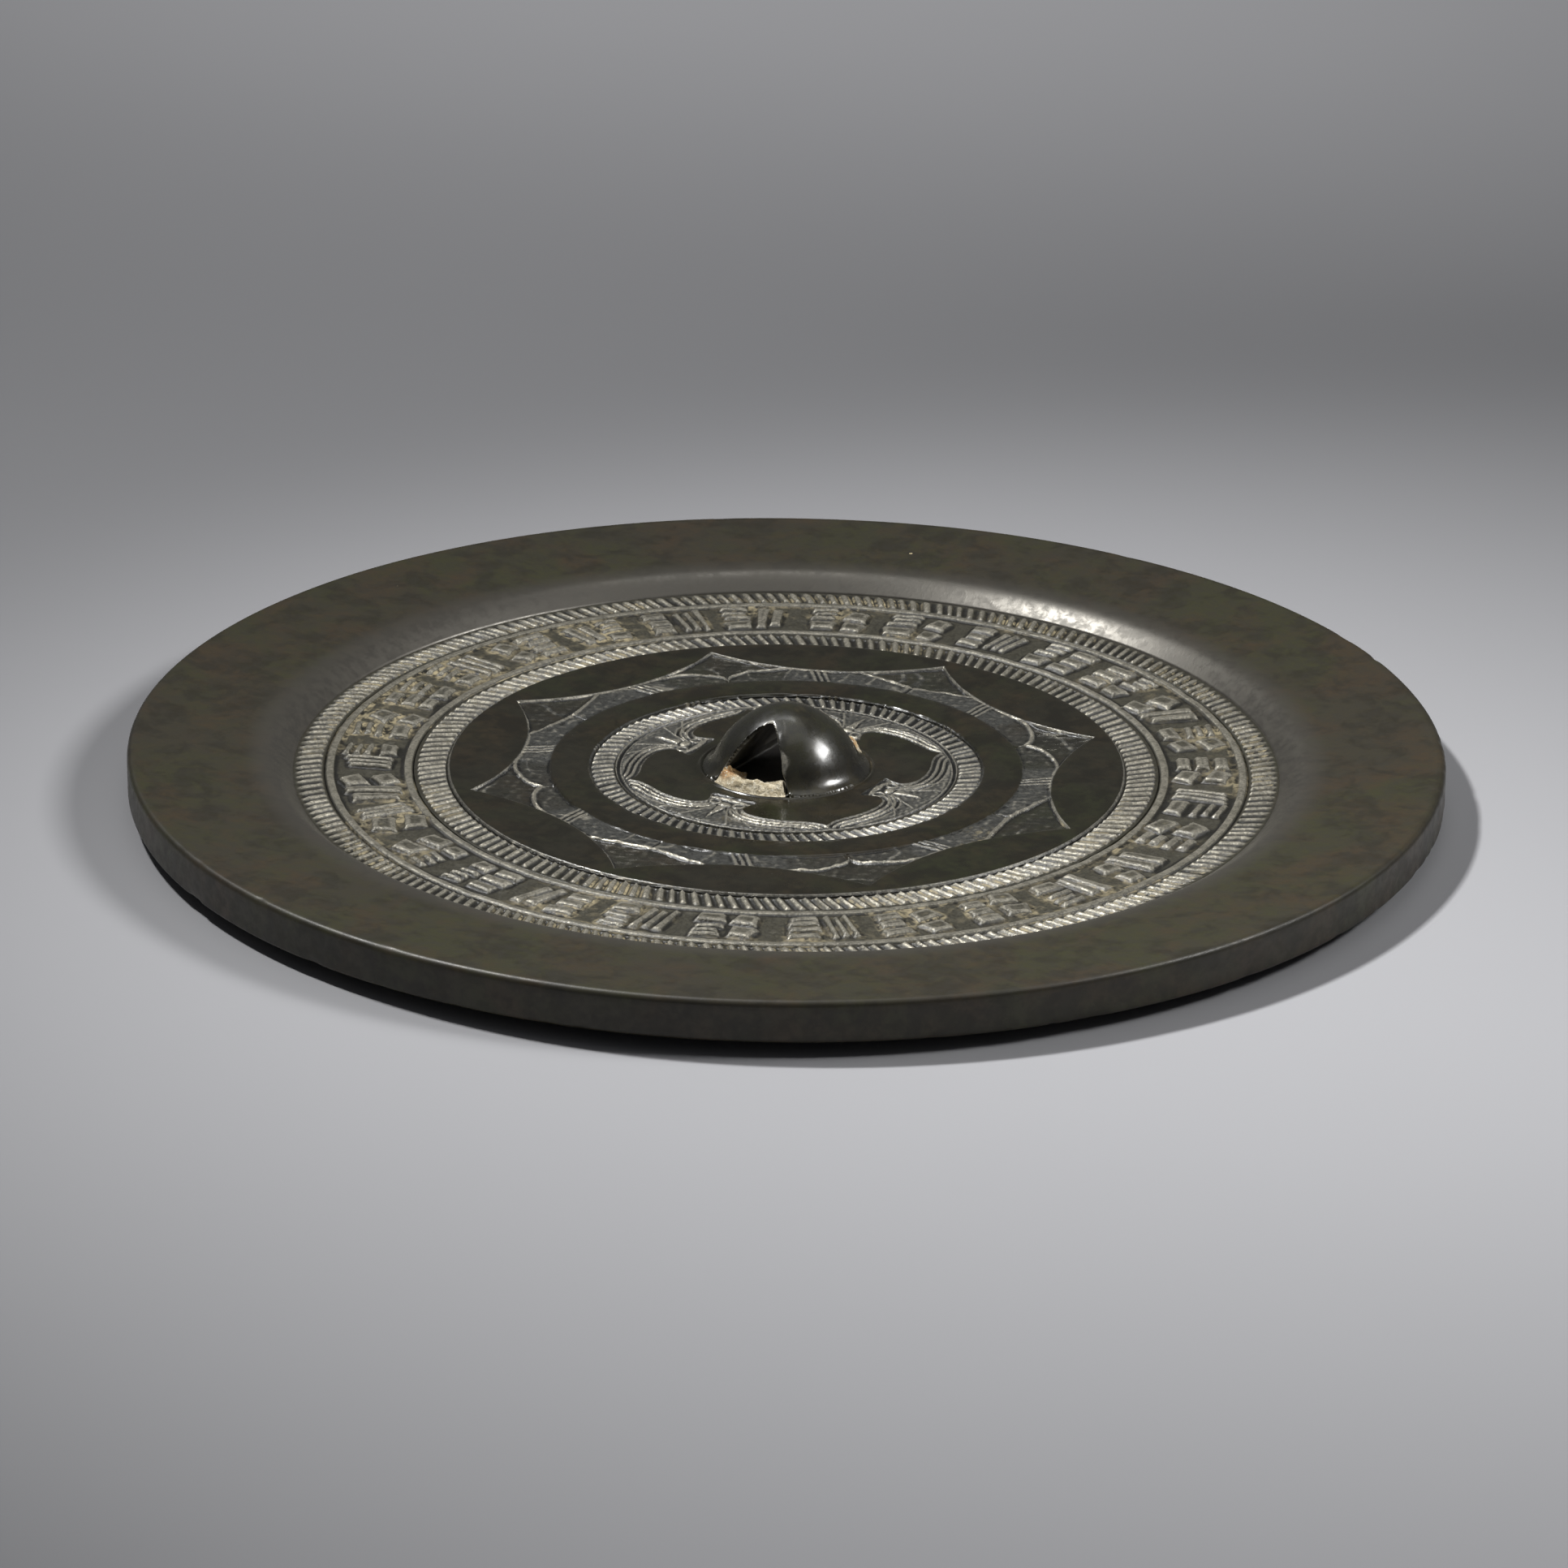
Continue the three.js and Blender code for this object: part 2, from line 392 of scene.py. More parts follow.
def comb_band(name, outer, inner, teeth, amplitude, margins, seed, outer_fade=0.3, strips=8):
    """A ring of slanting teeth. Margins are the plain widths beside them, outer and inner.

    The teeth rise over outer_fade mm from the outer margin.
    """
    columns = teeth * columns_per_tooth
    first, last = outer - margins[0], inner + margins[1]
    radii = np.concatenate([
        np.linspace(outer, first, 3),
        first - np.array([0.12, 0.25, 0.45]),
        np.linspace(first - 0.8, last + 0.8, 6),
        last + np.array([0.45, 0.25, 0.12]),
        np.linspace(last, inner, 3),
    ])
    turn = all_round(columns)
    middle = (outer + inner) / 2
    midline = flat(middle, turn)
    pitch = 2 * np.pi / teeth
    wander = 0.16 * pitch * cloud(*midline, 4, seed) + pitch * cloud(*midline, 60, seed + 1)
    lean = tooth_lean * (1 + 0.12 * cloud(*midline, 30, seed + 2))
    radius = np.repeat(radii[:, None], columns, axis=1)
    angle = turn + wander + np.tan(lean) * (radius - middle) / middle
    share = (np.arange(columns) % columns_per_tooth) / columns_per_tooth
    crest = np.clip(1.15 * (1 - np.abs(2 * share - 1)) - 0.15, 0, 1)
    kept = 0.86 + 0.14 * cloud(*midline, 9, seed + 3)
    inside = soft_step(first + 0.05, first - outer_fade, radius)
    inside = inside * soft_step(last - 0.05, last + 0.3, radius)
    height = field(radius) + inside * (amplitude * kept * crest - 0.35 * amplitude)
    height = height + 0.03 * cloud(*flat(radius, angle), 1.1, seed + 4) * inside
    height = height - 0.12 * hump(radius, inner, margins[1])
    tone = 0.26 + inside * (0.12 + 0.42 * crest)
    return ring_piece(name, angle, radius, height, tone, strips)


outer_comb = comb_band("outer_comb_band", outer_comb_radius, outer_groove_radius, teeth=240,
                       amplitude=0.6, margins=(0.05, 0.3), seed=21, outer_fade=1.3)
middle_comb = comb_band("middle_comb_band", inner_groove_radius, arc_field_radius, teeth=180,
                        amplitude=0.7, margins=(0.45, 0.1), seed=31)
inner_comb = comb_band("inner_comb_band", ring_inner_radius, leaf_field_radius, teeth=104,
                       amplitude=0.6, margins=(0.1, 0.2), seed=41)

# %% [markdown]
# ## The inscription band
#
# The real band holds thirty or so blocky characters. Here each place holds a small cluster of
# strokes that are not letters: a place is split in two halves, and each half is filled with a
# stack of bars, a pair of blocks with a slanting cut, or a few uprights. A stroke is a tapered
# box seen from above whose sides slope in, so that a narrow one is a ridge and a wide one has a
# flat top. Each cluster is chosen and varied at random, and some are more worn than others.

# %% Strokes
glyph_count = 30
glyph_offset = np.radians(5.2)
stroke_height = 0.75
place_height = 8.2
place_reach = 6.2


def stroke(u, v, place, size, turn=0.0, taper=0.0):
    """How much of a stroke stands at each point: 1 on top of it, 0 outside. Turn is in degrees."""
    cosine, sine = np.cos(np.radians(turn)), np.sin(np.radians(turn))
    across = (u - place[0]) * cosine + (v - place[1]) * sine
    along = (v - place[1]) * cosine - (u - place[0]) * sine
    half_width = size[0] / 2 * (1 + taper * along / (size[1] / 2))
    inside = np.minimum(half_width - np.abs(across), size[1] / 2 - np.abs(along))
    return np.clip((inside + 0.05) / 0.5, 0, 1)


def stack_of_bars(draw, centre, width):
    count = draw.integers(3, 5)
    step = place_height / count
    lean = draw.uniform(-7, 7)
    return [((centre + draw.uniform(-0.25, 0.25), -place_height / 2 + step * (k + 0.5)),
             (width * draw.uniform(0.8, 1.0), step - 0.35), lean, 0) for k in range(count)]


def pair_of_blocks(draw, centre, width):
    lean = draw.uniform(10, 24)
    cut = draw.uniform(-0.8, 0.8)
    return [((centre, cut - 2.4), (width * 0.9, 3.4), -lean, 0.1),
            ((centre + 0.2, cut + 2.1), (width * 0.85, 3.6), -lean, -0.15)]


def uprights(draw, centre, width):
    count = draw.integers(2, 4)
    step = width / count
    lean = draw.uniform(5, 13)
    return [((centre - width / 2 + step * (k + 0.5), draw.uniform(-0.3, 0.3)),
             (step - 0.25, draw.uniform(6.2, 8.2)), lean, draw.uniform(-0.15, 0.25))
            for k in range(count)]


def bars_over_block(draw, centre, width):
    return [((centre, -2.6), (width * 0.95, 2.9), draw.uniform(-6, 6), 0.1),
            ((centre - 0.2, 0.4), (width * 0.9, 1.35), 8, 0),
            ((centre + 0.2, 2.0), (width * 0.8, 1.25), 8, 0),
            ((centre, 3.6), (width * 0.9, 1.2), 8, 0)]


half_patterns = [stack_of_bars, pair_of_blocks, uprights, bars_over_block]
print(len(half_patterns), "fillings for each half of", glyph_count, "places")

# %% Inscription band piece
band_columns = 60 * glyph_count
band_rows = 51
fillet_width = 1.2


def inscription_band():
    radii = np.linspace(outer_groove_radius, inner_groove_radius, band_rows)
    radius, angle, x, y = polar_grid(radii, band_columns)
    middle = (outer_groove_radius + inner_groove_radius) / 2
    cover = np.zeros_like(radius)
    draw = np.random.default_rng(56)
    for k in range(glyph_count):
        centre = glyph_offset + 2 * np.pi * k / glyph_count + np.radians(draw.uniform(-0.5, 0.5))
        u = middle * wrapped(angle, 2 * np.pi, centre)
        near = np.abs(u[0]) < place_reach
        side = draw.choice([-1, 1])
        grow = draw.uniform(0.93, 1.03)
        local_u, local_v = side * u[:, near] / grow, (radius[:, near] - middle) / grow
        worn = draw.uniform(0.7, 1.0)
        split = draw.uniform(-0.5, 0.9)
        left, right = draw.choice(len(half_patterns), 2, replace=False)
        strokes = half_patterns[left](draw, (split - 5.0) / 2, 4.5 + split)
        strokes += half_patterns[right](draw, (split + 5.1) / 2, 4.5 - split)
        for place, size, lean, taper in strokes:
            raised = worn * draw.uniform(0.8, 1.0) * stroke(
                local_u, local_v, place, size, lean, taper)
            cover[:, near] = np.maximum(cover[:, near], raised)
    from_outside = outer_groove_radius - radius
    from_inside = radius - inner_groove_radius
    fillets = sum(
        soft_step(0.15, 0.45, gap) * (1 - soft_step(fillet_width, fillet_width + 0.35, gap))
        for gap in (from_outside, from_inside))
    grooves = hump(from_outside, 0, 0.4) + hump(from_inside, 0, 0.4)
    height = field(radius) - 0.06 + stroke_height * cover + 0.3 * fillets - 0.15 * grooves
    height = height + 0.03 * cloud(x, y, 1.6, seed=57) + 0.04 * cloud(x, y, 5, seed=58)
    tone = np.clip(0.42 + 0.22 * cover + 0.02 * fillets, 0, 1)
    return ring_piece("inscription_band", angle, radius, height, tone, strips=10)


inscription = inscription_band()

# %% [markdown]
# ## Eight arcs and the plain ring
#
# Inside the middle comb band lies a polished field whose inner edge is cut back in eight arcs,
# like the petals of a flower seen from within. Each arc is part of a circle. The grid's rows are
# fitted to the arcs: one block of rows runs from the outer edge to the arcs, and another from the
# arcs to the plain ring, so that the scalloped edge is a clean line and not a staircase.

# %% Arc geometry
arc_count = 8
arc_cusp_radius = 45.6
arc_mid_radius = 37.8
arc_step = 2 * np.pi / arc_count


def scallop(angle):
    """Radius of the scalloped edge. The cusps are at whole multiples of arc_step."""
    from_mid = wrapped(angle, arc_step, arc_step / 2)
    centre = (arc_cusp_radius ** 2 - arc_mid_radius ** 2) / (
        2 * (arc_cusp_radius * np.cos(arc_step / 2) - arc_mid_radius))
    circle = centre - arc_mid_radius
    return centre * np.cos(from_mid) - np.sqrt(circle ** 2 - (centre * np.sin(from_mid)) ** 2)


def fitted_rows(blocks):
    """Joins blocks of rows. Each is (outer radius, inner radius, shares of the way between)."""
    return np.concatenate([start + (end - start) * np.asarray(shares)[:, None]
                           for start, end, shares in blocks])


print("cusp", scallop(0.0).round(2), "mid-arc", scallop(arc_step / 2).round(2))

# %% [markdown]
# Between the arcs and the ring the ground has two levels. A low web hugs the ring. Under every
# second cusp it swells into two rounded lobes that meet in a notch, and under the others it sags
# in one curve with a short slit. Behind it, under each cusp, a dark three-cornered hollow is
# left. At the middle of each arc three short slanting ridges cross the web.

# %% Arc field piece
arc_columns = 1200
lobed_cusp = np.pi / 4
web_height = 0.27
bar_shifts = np.array([-0.4, 0.9, 0.2, -1.1, 0.0, -1.6, -1.0, -1.5])


def web_edge(angle):
    """Outer radius of the low web beside the ring."""
    degrees = np.abs(np.degrees(wrapped(angle, arc_step)))
    from_lobed = np.abs(np.degrees(wrapped(angle, 2 * arc_step, lobed_cusp)))
    lobes = 34.9 + 3.9 * np.sqrt(np.sin(np.clip(from_lobed / 15.5, 0, 1) * np.pi * 0.56))
    sag = 36.4 + 2.2 * (degrees / 13) ** 1.6
    return np.where(from_lobed < arc_step / 2 * 180 / np.pi, lobes, sag), from_lobed


def arc_relief(radius, angle, edge):
    """Height of the web's relief above the bare ground, and its tone."""
    x, y = flat(radius, angle)
    web, from_lobed = web_edge(angle)
    lobed = from_lobed < 22.5
    on_web = soft_step(-0.2, 0.25, web - radius)
    outline = hump(radius, web - 0.25, 0.45) * (1 + 0.5 * cloud(x, y, 5, seed=64))
    within_lobe = soft_step(0.3, 1.0, web - radius) * lobed * soft_step(17, 13, from_lobed)
    height = web_height * on_web + 0.2 * outline * (edge > radius + 0.3) - 0.16 * within_lobe
    notch = hump(radius * np.radians(from_lobed), 0, 0.5) * lobed * (radius < 36)
    slit_angle = wrapped(angle, 2 * arc_step, 0.0)
    slit = hump(radius * slit_angle, 0, 0.32) * soft_step(37.0, 36.4, radius)
    height = height - 0.2 * np.maximum(notch, slit) * on_web
    from_mid = wrapped(angle, arc_step, arc_step / 2)
    which = np.round((angle - arc_step / 2) / arc_step).astype(int) % arc_count
    shift = bar_shifts[which]
    along = radius * from_mid - shift - np.tan(tooth_lean) * (radius - arc_mid_radius + 2)
    bars = np.cos(np.pi * along / 0.95) ** 2 * (np.abs(along) < 1.42)
    height = height + 0.2 * bars * soft_step(arc_mid_radius + 1.6, arc_mid_radius + 0.6, radius)
    light_web = on_web * (1 - 0.75 * within_lobe)
    # Painted highlight: the raised outline of the web is made pale, standing in for the light it
    # catches.
    tone = 0.18 + (0.3 + 0.1 * cloud(x, y, 5, seed=67)) * light_web + 0.7 * outline
    tone = tone + 0.2 * bars - 0.3 * np.maximum(notch, slit) * on_web
    return height, np.clip(tone, 0, 1)


def arc_field():
    turn = all_round(arc_columns)
    edge = scallop(turn)[None, :]
    outer = np.full_like(edge, arc_field_radius)
    ring_out, ring_in = np.full_like(edge, ring_outer_radius), np.full_like(edge, ring_inner_radius)
    radius = fitted_rows([
        (outer, outer - 0.6, [0, 0.2, 0.4, 0.65, 1]),
        (outer - 0.6, edge + 0.3, np.linspace(0, 1, 9)[1:]),
        (edge + 0.3, edge - 0.55, [0.2, 0.38, 0.55, 0.75, 1]),
        (edge - 0.55, ring_out + 0.1, np.linspace(0, 1, 34)[1:]),
        (ring_out + 0.1, ring_out - 0.5, [0.2, 0.45, 0.7, 1]),
        (ring_out - 0.5, ring_in + 0.5, np.linspace(0, 1, 8)[1:]),
        (ring_in + 0.5, ring_in, [0.35, 0.6, 0.8, 1]),
    ])
    angle = np.broadcast_to(turn, radius.shape)
    x, y = flat(radius, angle)
    polished = soft_step(0, 0.45, arc_field_radius - radius) * soft_step(-0.35, 0.2, radius - edge)
    ring = (soft_step(0.1, -0.4, radius - ring_outer_radius)
            * soft_step(0, 0.45, radius - ring_inner_radius))
    ring_middle = (ring_outer_radius + ring_inner_radius) / 2
    crown = 0.12 * (1 - ((radius - ring_middle) / 3) ** 2)
    relief, ground_tone = arc_relief(radius, angle, edge)
    ground = (1 - polished) * (1 - ring)
    creases = 1 - np.abs(cloud(x, y, 4.2, seed=61))
    uneven = ((0.16 * creases + 0.05 * cloud(x, y, 0.9, seed=63)) * ground
              + 0.012 * cloud(x, y, 14, seed=62))
    height = (field(radius) + polish_height * polished + ring * (0.5 + crown)
              + relief * ground + uneven)
    # Painted highlight: pale lines along the scalloped edge and the field's outer edge stand in for
    # light caught by their rounded edges.
    edge_highlight = 0.8 * hump(radius, edge - 0.1, 0.35) * (1 + 0.5 * cloud(x, y, 4, seed=65))
    edge_highlight = edge_highlight + 0.7 * hump(radius, arc_field_radius - 0.15, 0.3)
    # Painted highlight: pale streaks on the ridges of the creases stand in for glints of light
    # along them.
    streaks = 0.5 * soft_step(0.85, 1.0, creases) * soft_step(0, 0.6, cloud(x, y, 6, seed=66))
    tone = ground * (ground_tone + streaks) + edge_highlight * (1 - ring)
    return ring_piece("arc_field", angle, radius, height, np.clip(tone, 0, 1), strips=6)


arcs = arc_field()

# %% [markdown]
# ## Four leaves round the knob
#
# Four broad leaves with rounded shoulders and a small sharp tip grow out of a flat collar round
# the knob. Their outline is a smooth curve through a few points, and each grid point is raised by
# how far it lies inside that curve. The leaves are alike on both sides, so only one half-outline
# is needed: the angle is folded onto it.

# %% Leaf outline
leaf_step = np.pi / 2
leaf_offset = np.pi / 4
leaf_half = [(14.2, 45), (14.2, 40), (14.6, 31.5), (15.6, 33.5), (17.2, 35.5), (18.8, 32),
             (19.8, 25), (20.5, 16), (21.1, 7), (21.8, 3), (23.0, 0)]


def smooth_line(points, per_span=5):
    """A curve through the given points, as a Catmull-Rom spline."""
    knots = np.array([points[0], *points, points[-1]], float)
    share = np.linspace(0, 1, per_span, endpoint=False)[:, None]
    spans = []
    for a, b, c, d in zip(knots, knots[1:], knots[2:], knots[3:]):
        spans.append(b + 0.5 * share * (c - a + share * (2 * a - 5 * b + 4 * c - d
                                                         + share * (3 * (b - c) + d - a))))
    return np.concatenate([*spans, knots[-1:]])


def from_polar(points):
    radius, degrees = np.array(points, float).T
    return np.stack(flat(radius, np.radians(degrees)), -1)


leaf_line = smooth_line(from_polar(leaf_half))


def inside_leaf(radius, angle):
    """Distance in from the nearest leaf's outline, in mm; negative outside it."""
    folded = np.abs(wrapped(angle, leaf_step, leaf_offset))
    x, y = flat(radius, folded)
    nearest = np.full(radius.shape, 1e9)
    inside = np.zeros(radius.shape, bool)
    corners = np.concatenate([leaf_line, [[0, 0]]])
    for (ax, ay), (bx, by) in zip(corners, np.roll(corners, -1, axis=0)):
        crosses = (ay > y) != (by > y)
        inside ^= crosses & (x < (bx - ax) * (y - ay) / (by - ay + 1e-12) + ax)
    for (ax, ay), (bx, by) in zip(leaf_line, leaf_line[1:]):
        share = ((x - ax) * (bx - ax) + (y - ay) * (by - ay)) / ((bx - ax) ** 2 + (by - ay) ** 2)
        share = np.clip(share, 0, 1)
        gap = np.hypot(x - ax - share * (bx - ax), y - ay - share * (by - ay))
        nearest = np.minimum(nearest, gap)
    return np.where(inside, nearest, -nearest)


print(len(leaf_line), "points on half a leaf")

# %% [markdown]
# Between two leaves sits a small bud on a boat-shaped foot, with strokes fanning out of it, and
# fine lines that run beside the leaves like ripples. The ripples need no drawing of their own:
# they are a wave of the distance from the leaf.

# %% Leaf field piece
leaf_columns = 960


def bud_relief(radius, angle):
    """Heights in mm of the five parts of the bud between two leaves."""
    u = radius * wrapped(angle, leaf_step)
    side = np.abs(u)
    off_foot = np.abs(radius - 14.9 - 0.07 * side ** 2)
    foot = soft_step(-0.1, 0.3, 0.62 - 0.12 * side - off_foot) * (side < 3.6)
    bead = np.sqrt(np.clip(1 - (u / 1.15) ** 2 - ((radius - 16.9) / 0.85) ** 2, 0, 1))
    curl = hump(np.hypot(side - 1.9, radius - 16.3), 0.75, 0.36)
    half_spear = 0.75 * np.clip((22.6 - radius) / 4.6, 0, 1)
    spear = soft_step(-0.1, 0.25, half_spear - side) * (radius > 17.9)
    reach = np.clip(radius - 17.4, 0, 10)
    fan = np.zeros_like(radius)
    for start, spread in ((0.9, 0.42), (1.5, 0.85)):
        line = start + spread * reach ** 1.12
        fan = np.maximum(fan, hump(side, line, 0.42) * soft_step(17.2, 17.8, radius))
    return 0.42 * foot, 0.6 * bead, 0.34 * curl, 0.38 * spear, 0.3 * fan


def leaf_field():
    radii = np.concatenate([
        np.linspace(leaf_field_radius, 23.2, 9)[:-1],
        np.linspace(23.2, 13.9, 52)[:-1],
        np.linspace(13.9, 12.8, 4)[:-1],
        np.linspace(12.8, knob_plug_radius, 9),
    ])
    radius, angle, x, y = polar_grid(radii, leaf_columns)
    deep = inside_leaf(radius, angle)
    leaf = np.maximum(soft_step(-0.12, 0.22, deep), soft_step(0.1, -0.15, radius - collar_radius))
    foot, bead, curl, spear, fan = bud_relief(radius, angle)
    away = -deep
    ripple = np.cos(2 * np.pi * (away - 0.75) / 0.85) * soft_step(0.25, 0.6, away)
    ripple = ripple * soft_step(2.7, 2.0, away)
    ripple = ripple * soft_step(16.5, 18.5, radius) * soft_step(23.4, 22.9, radius)
    free = 1 - leaf
    drawn = np.max([1.2 * foot, bead, 1.3 * curl, 1.3 * spear, 1.3 * fan,
                    0.22 + 0.26 * ripple], axis=0)
    drawn = drawn * free * soft_step(23.5, 23.1, radius)
    groove = hump(radius, 23.85, 0.4)
    band = soft_step(23.3, 23.6, radius)
    lip = lip_height * hump(radius, lip_radius, 0.4) * (1 + 0.3 * cloud(x, y, 3, seed=73))
    uneven = (0.03 * cloud(x, y, 1.2, seed=71) + 0.035 * cloud(x, y, 0.45, seed=72)) * free
    height = field(radius) + leaf_height * leaf + drawn + 0.22 * band * (1 - groove) - 0.25 * groove
    height = height + lip + uneven
    tone = (0.42 + 1.6 * np.clip(drawn, 0, 1) ** 1.6) * free + 0.5 * lip
    tone = tone + 0.6 * hump(deep, 0, 0.22) * (radius > 14.6)
    tone = np.clip(tone, 0, 1)
    return ring_piece("leaf_field", angle, radius, height, tone, strips=6)


leaves = leaf_field()

# %% [markdown]
# ## The pierced knob
#
# The knob is a plain dome with a straight arched hole, and it was polished all over. Its foot
# flares out, and the hole's edges are rounded where a cord has rubbed, most of all on one side.
# Cutting a hole with a Boolean leaves a knife edge, so that is only the first step: a voxel
# remesh gives an even skin, and then every point is moved onto a formula in which dome, foot and
# hole run into each other with fillets. The skin is as smooth as the formula, which matters on a
# surface this glossy.

# %% Knob formula
knob_waist = 10.75
foot_fillet = 2.3
tunnel_half_width = 5.6
tunnel_height = 7.9
tunnel_power = 1.42
tunnel_floor = field(collar_radius) + leaf_height + 0.02
edge_fillet = 0.3
worn_edge_fillet = 1.1
cutter_reach = 16
skin_voxel = 0.2


def cut_back(a, b, size):
    """The larger of a and b, rounded off where they cross."""
    share = np.clip(0.5 + 0.5 * (a - b) / size, 0, 1)
    return b + (a - b) * share + size * share * (1 - share)


def joined(a, b, size):
    """The smaller of a and b, with a fillet where they cross."""
    return -cut_back(-a, -b, size)


def beyond_hole(points):
    """Roughly the distance outside the hole's arched outline, in mm; negative inside the hole."""
    x, y, z = points.T
    power = tunnel_power
    side = np.abs(x) / tunnel_half_width
    arch = side ** power + (z - tunnel_floor) / tunnel_height - 1
    slope = np.hypot(power * side ** (power - 1) / tunnel_half_width, 1 / tunnel_height)
    chipped = 0.07 * cloud(y, z, 1.6, seed=78) * (1 + 1.5 * (x > 0) * (y < 0))
    return arch / slope + chipped


def worn_side(points):
    """1 along the jamb that the cord has rubbed most."""
    return soft_step(0.6, 2.2, points[:, 0]) * soft_step(0, -4, points[:, 1])


def knob_skin(points):
    """Roughly the distance outside the knob's skin, in mm; negative inside the metal."""
    x, y, z = points.T
    radius = np.hypot(x, y)
    up = np.maximum(z - field(0), 0) / knob_height
    power = knob_roundness
    dome = (((radius / knob_waist) ** power + up ** power) ** (1 / power) - 1) * knob_height
    dome = dome + 0.02 * cloud(x, y, 5, seed=77)
    plug = np.maximum(radius - knob_plug_radius, z - tunnel_floor + 0.02)
    solid = joined(dome, plug, foot_fillet)
    hole = np.maximum(beyond_hole(points), tunnel_floor - z)
    fillet = edge_fillet + (worn_edge_fillet - edge_fillet) * worn_side(points)
    return cut_back(solid, -hole, fillet)


dome_top = np.array([[0.001, 0, field(0) + knob_height]])
print("skin value at the top of the dome", knob_skin(dome_top).round(3))

# %% Knob piece


def store_outward(work, mesh):
    """Turns the faces of a working mesh outward and writes it to a finished one."""
    bmesh.ops.recalc_face_normals(work, faces=work.faces)
    work.to_mesh(mesh)
    work.free()


def knob_blank():
    """A rough knob: profile turned round the axis, hole cut, and skin made even."""
    rise = np.radians(np.linspace(90, 0, 24))
    dome_radius = knob_radius * np.cos(rise) ** (2 / knob_roundness)
    dome_height = field(0) + knob_height * np.sin(rise) ** (2 / knob_roundness)
    foot = [(knob_plug_radius, tunnel_floor - 0.1), (knob_plug_radius, inner_floor),
            (0, inner_floor)]
    profile = [*zip(dome_radius, dome_height), *foot]
    mesh = bpy.data.meshes.new("knob")
    blank = placed("knob_blank", mesh)
    work = bmesh.new()
    points = [work.verts.new((radius * MM, 0, height * MM)) for radius, height in profile]
    edges = [work.edges.new(pair) for pair in zip(points, points[1:])]
    bmesh.ops.spin(work, geom=points + edges, axis=(0, 0, 1), cent=(0, 0, 0), steps=96,
                   angle=2 * np.pi, use_duplicate=False)
    bmesh.ops.remove_doubles(work, verts=work.verts, dist=1e-6)
    store_outward(work, mesh)
    return blank


def hole_cutter():
    """A bar with the hole's arched section, longer than the knob is wide."""
    across = np.linspace(-1, 1, 33)
    arch = [(tunnel_half_width * a, tunnel_floor + tunnel_height * (1 - a * a)) for a in across]
    work = bmesh.new()
    end = work.faces.new([work.verts.new((x * MM, -cutter_reach * MM, z * MM)) for x, z in arch])
    far = bmesh.ops.extrude_face_region(work, geom=[end])["geom"]
    moved = [item for item in far if isinstance(item, bmesh.types.BMVert)]
    bmesh.ops.translate(work, verts=moved, vec=(0, 2 * cutter_reach * MM, 0))
    mesh = bpy.data.meshes.new("hole")
    store_outward(work, mesh)
    return placed("hole_cutter", mesh)


def modified_mesh(thing, modifiers):
    """The mesh of an object with these modifiers put on it."""
    for kind, settings in modifiers:
        modifier = thing.modifiers.new(kind, kind)
        for name, value in settings.items():
            setattr(modifier, name, value)
    bpy.context.view_layer.update()
    graph = bpy.context.evaluated_depsgraph_get()
    return bpy.data.meshes.new_from_object(thing.evaluated_get(graph))


def settled(points, skin, rounds=8, limit=0.25):
    """Moves points, given in mm, onto the surface where the skin formula is zero."""
    step = 0.01
    for _ in range(rounds):
        value = skin(points)
        slope = np.stack([skin(points + step * axis) - skin(points - step * axis)
                          for axis in np.eye(3)], -1)
        slope = slope / (2 * step)
        move = value[:, None] * slope / np.maximum(np.sum(slope ** 2, 1), 0.05)[:, None]
        size = np.linalg.norm(move, axis=1, keepdims=True)
        points = points - move * np.minimum(1, limit / np.maximum(size, 1e-9))
    return points


def knob():
    blank, cutter = knob_blank(), hole_cutter()
    mesh = modified_mesh(blank, [
        ("BOOLEAN", {"object": cutter, "operation": "DIFFERENCE", "solver": "EXACT"}),
        ("REMESH", {"mode": "VOXEL", "voxel_size": skin_voxel * MM}),
    ])
    for done in (blank, cutter):
        bpy.data.objects.remove(done)
    points = np.empty(len(mesh.vertices) * 3, np.float32)
    mesh.vertices.foreach_get("co", points)
    points = points.reshape(-1, 3).astype(float) / MM
    seen = points[:, 2] > tunnel_floor - 0.4
    points[seen] = settled(points[seen], knob_skin)
    mesh.vertices.foreach_set("co", (points * MM).astype(np.float32).ravel())
    beyond = beyond_hole(points)
    # The wall of the hole, stored as `hollow`; the knob's finish paints it nearly black as painted
    # shade.
    inner = soft_step(0.15, -0.35, beyond) * (points[:, 2] > tunnel_floor - 0.2)
    rise = points[:, 2] - tunnel_floor
    patchy = soft_step(-0.5, 0.6, cloud(beyond * 2, rise, 1.4, seed=79)) * soft_step(1.0, 5.5, rise)
    rubbed = soft_step(1.5, 0.5, beyond) * worn_side(points) * (1 - inner) * patchy
    # Painted highlight: a pale band round the hole's edge, above its foot, stands in for a lamp's
    # glint on the rounded edge.
    hole_edge_highlight = 0.5 * hump(beyond, 0.15, 0.3) * (rise > 1.5)
    add_numbers(mesh, tone=np.maximum(rubbed, hole_edge_highlight), hollow=inner)
    mesh.name = "knob"
    return finish_piece("knob", mesh, np.ones(len(mesh.polygons), bool))


pierced_knob = knob()

# %% [markdown]
# ## Soil in the hole
#
# A crust of beige soil has stayed in the mouth of the hole and lies over the knob's lip; it
# climbs one jamb. A smaller lump sits in the far mouth. Each is a lump with its own rough skin,
# so it is its own mesh: a bent slab whose points are pushed up and down by random waves of
# several sizes.

# %% Soil pieces
soil_bed = 0.25


